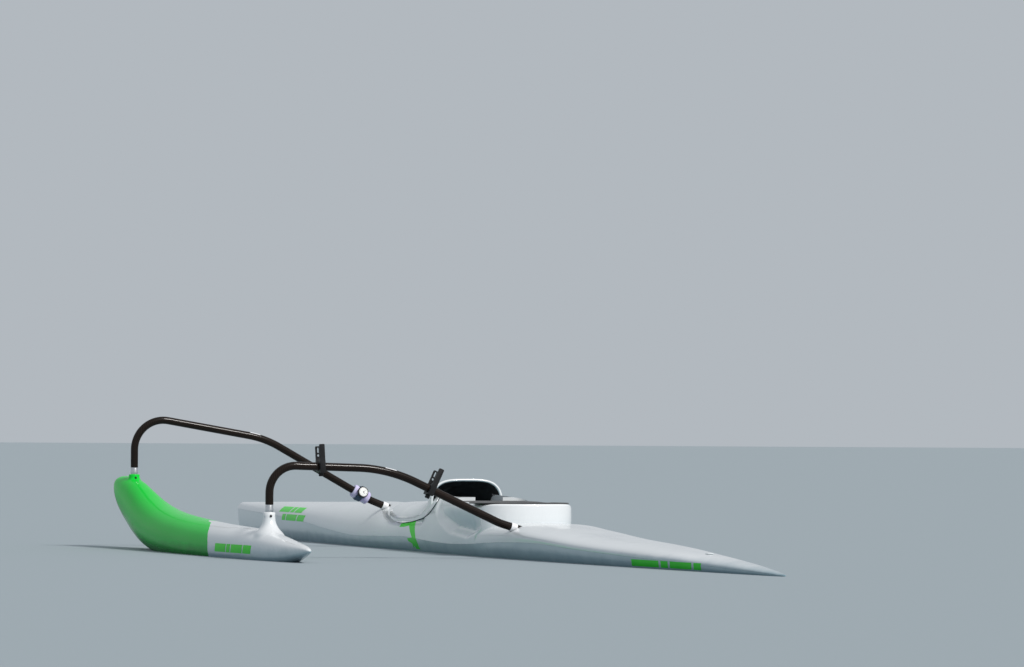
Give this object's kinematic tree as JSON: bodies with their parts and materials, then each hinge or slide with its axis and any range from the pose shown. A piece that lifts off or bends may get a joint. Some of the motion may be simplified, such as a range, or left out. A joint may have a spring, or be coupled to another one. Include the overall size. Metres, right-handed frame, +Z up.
{
  "type": "one-person outrigger canoe",
  "caption": "Slender decked racing canoe with a seat box, covered footwell and rudder, and a float held out to port by two bent crossbeams.",
  "frame": {"origin": "on the hull's centreline amidships, at the waterline", "axes": "+X to the bow, +Y to port towards the float, +Z up"},
  "size_m": [6.14, 1.3309, 0.7387],
  "materials": {
    "gelcoat_white": "gloss",
    "gelcoat_green": "gloss",
    "carbon": "clear coated",
    "aluminium": "brushed",
    "black_plastic": "moulded",
    "band_white": "tape",
    "seat_foam": "closed-cell foam",
    "sleeve_foam": "foam",
    "strap": "moulded",
    "dial": "gloss"
  },
  "bodies": {
    "hull": {"deck": "gelcoat_white", "hull_bottom": "gelcoat_white", "cockpit_tub": "gelcoat_white", "cowl": "gelcoat_white", "seat_pad": "seat_foam", "ama_insert_front": "aluminium", "iako_front": "carbon", "iako_band_front": "band_white", "lock_button_front": "black_plastic", "ama_insert_rear": "aluminium", "iako_rear": "carbon", "iako_band_rear": "band_white", "lock_button_rear": "black_plastic", "ama": "gelcoat_green", "paddle_rest_1": "black_plastic", "rest_knob_1": "black_plastic", "paddle_rest_2": "black_plastic", "rest_knob_2": "black_plastic", "foam_sleeve": "sleeve_foam", "watch_strap": "strap", "watch_case": "black_plastic", "watch_dial": "dial", "rudder_bearing": "black_plastic", "rudder_cap": "gelcoat_white", "pedal_axle": "aluminium", "pedal_bracket_port": "black_plastic", "pedal_bracket_starboard": "black_plastic"},
    "rudder": {"rudder": "gelcoat_white"},
    "pedal_port": {"pedal_port": "black_plastic"},
    "pedal_starboard": {"pedal_starboard": "black_plastic"}
  },
  "joints": [
    {"name": "rudder_turn", "type": "hinge", "parent": "hull", "child": "rudder", "pos_m": [-2.45, 0, -0.1], "axis": [0, 0, 1], "range_deg": [-35, 35]},
    {"name": "pedal_port_tilt", "type": "hinge", "parent": "hull", "child": "pedal_port", "pos_m": [0.372, 0.048, -0.012], "axis": [0, 1, 0], "range_deg": [-15, 15]},
    {"name": "pedal_starboard_tilt", "type": "hinge", "parent": "hull", "child": "pedal_starboard", "pos_m": [0.372, -0.048, -0.012], "axis": [0, 1, 0], "range_deg": [-15, 15]}
  ],
  "couplings": [
    {"joint": "pedal_port_tilt", "follows": "rudder_turn", "ratio": -0.42857},
    {"joint": "pedal_starboard_tilt", "follows": "rudder_turn", "ratio": 0.42857}
  ]
}
